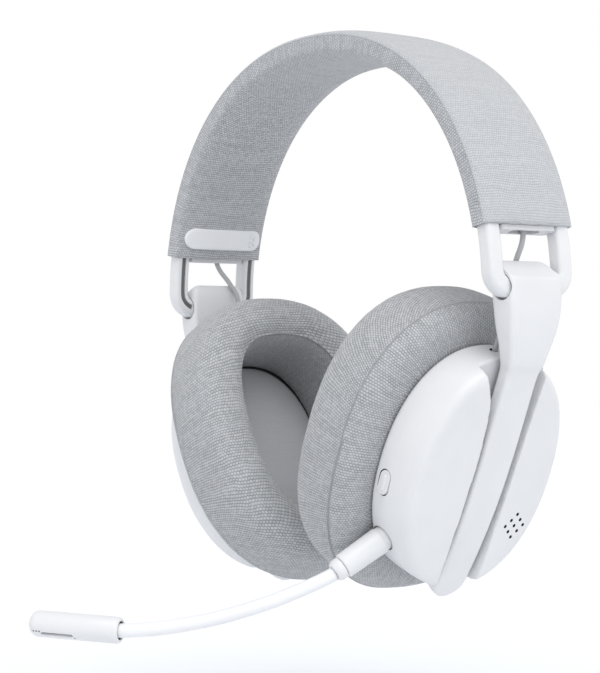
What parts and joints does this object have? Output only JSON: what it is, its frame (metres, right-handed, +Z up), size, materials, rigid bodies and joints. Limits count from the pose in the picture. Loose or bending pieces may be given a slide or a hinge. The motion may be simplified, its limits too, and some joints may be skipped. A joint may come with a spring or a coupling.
{
  "type": "gaming headset",
  "caption": "Wireless over-ear gaming headset with a padded fabric headband, sliding forks, tilting arms, fabric ear pads and a plug-in boom microphone.",
  "frame": {"origin": "middle of the cushion under the top of the headband, where the headset hangs on a hook", "axes": "+Z up, -Y the way the wearer faces, +X to the wearer's left, the side with the microphone"},
  "size_m": [0.1792, 0.1667, 0.2042],
  "materials": {
    "white_plastic": "satin moulded white",
    "grey_plastic": "satin moulded light grey",
    "dark_plastic": "matte moulded dark grey",
    "band_fabric": "ribbed woven textile, cool grey",
    "pad_fabric": "ribbed and basket-woven textile, cool grey",
    "driver_cloth": "smooth fine mesh cloth, blue-grey",
    "wire_skin": "matte grey sleeve",
    "boom_skin": "matte white flexible sleeve",
    "steel": "ground steel",
    "board": "green solder mask",
    "cell_wrap": "blue wrap"
  },
  "bodies": {
    "headband": {"headband_cover": "band_fabric", "headband_cushion": "band_fabric", "headband_core": "dark_plastic", "headband_spring": "steel", "headband_wire": "wire_skin", "left_end_plate": "grey_plastic", "left_badge": "white_plastic", "right_end_plate": "grey_plastic", "right_badge": "white_plastic"},
    "left_slider": {"left_fork": "white_plastic", "left_front_groove_strip": "dark_plastic", "left_rear_groove_strip": "dark_plastic", "left_front_pivot_pin": "steel", "left_rear_pivot_pin": "steel", "left_head_wire": "wire_skin"},
    "left_arm": {"left_arm": "white_plastic", "left_arm_cover": "white_plastic", "left_ball_stud": "steel"},
    "left_cup": {"left_ball_socket": "dark_plastic", "left_cup_shell": "white_plastic", "left_baffle": "dark_plastic", "left_driver_basket": "dark_plastic", "left_driver_magnet": "steel", "left_baffle_cloth": "driver_cloth", "left_ear_pad": "pad_fabric", "circuit_board": "board", "usb_port": "steel", "wheel_encoder": "dark_plastic", "mic_jack": "dark_plastic"},
    "right_slider": {"right_fork": "white_plastic", "right_front_groove_strip": "dark_plastic", "right_rear_groove_strip": "dark_plastic", "right_front_pivot_pin": "steel", "right_rear_pivot_pin": "steel", "right_head_wire": "wire_skin"},
    "right_arm": {"right_arm": "white_plastic", "right_arm_cover": "white_plastic", "right_ball_stud": "steel"},
    "right_cup": {"right_ball_socket": "dark_plastic", "right_cup_shell": "white_plastic", "right_baffle": "dark_plastic", "right_driver_basket": "dark_plastic", "right_driver_magnet": "steel", "right_baffle_cloth": "driver_cloth", "right_ear_pad": "pad_fabric", "battery_cell": "cell_wrap"},
    "mode_button": {"mode_button": "white_plastic"},
    "volume_wheel": {"volume_wheel": "white_plastic"},
    "microphone": {"mic_base": "white_plastic", "mic_collar": "white_plastic", "mic_boom": "boom_skin", "mic_capsule_shell": "white_plastic", "mic_capsule_core": "dark_plastic"}
  },
  "joints": [
    {"name": "left_slide", "type": "hinge", "parent": "headband", "child": "left_slider", "pos_m": [-0.0089, 0, -0.0802], "axis": [0, 1, 0], "range_deg": [-4.9, 1.5], "deforming": ["left_head_wire"]},
    {"name": "left_arm_tilt", "type": "hinge", "parent": "left_slider", "child": "left_arm", "pos_m": [0.08477, 0, -0.0825], "axis": [0, -1, 0], "range_deg": [-0.4, 20], "deforming": ["left_head_wire"]},
    {"name": "left_cup_swivel", "type": "hinge", "parent": "left_arm", "child": "left_cup", "pos_m": [0.05772, 0, -0.14096], "axis": [0.4067, 0, 0.9135], "range_deg": [-3, 3], "deforming": ["left_head_wire"]},
    {"name": "right_slide", "type": "hinge", "parent": "headband", "child": "right_slider", "pos_m": [0.0089, 0, -0.0802], "axis": [0, -1, 0], "range_deg": [-4.9, 1.5], "deforming": ["right_head_wire"]},
    {"name": "right_arm_tilt", "type": "hinge", "parent": "right_slider", "child": "right_arm", "pos_m": [-0.08477, 0, -0.0825], "axis": [0, 1, 0], "range_deg": [-0.4, 20], "deforming": ["right_head_wire"]},
    {"name": "right_cup_swivel", "type": "hinge", "parent": "right_arm", "child": "right_cup", "pos_m": [-0.05772, 0, -0.14096], "axis": [-0.4067, 0, 0.9135], "range_deg": [-3, 3], "deforming": ["right_head_wire"]},
    {"name": "mode_button_press", "type": "slide", "parent": "left_cup", "child": "mode_button", "axis": [0, 1, 0], "range_m": [0, 0.0008], "stiffness_N_per_m": 400},
    {"name": "volume_wheel_turn", "type": "hinge", "parent": "left_cup", "child": "volume_wheel", "pos_m": [0.05707, 0.0272, -0.13848], "axis": [0.9135, 0, -0.4067], "range_deg": [-150, 150]},
    {"name": "microphone_unplug", "type": "slide", "parent": "left_cup", "child": "microphone", "axis": [-0.3313, -0.7807, -0.5298], "range_m": [0, 0.012]}
  ]
}
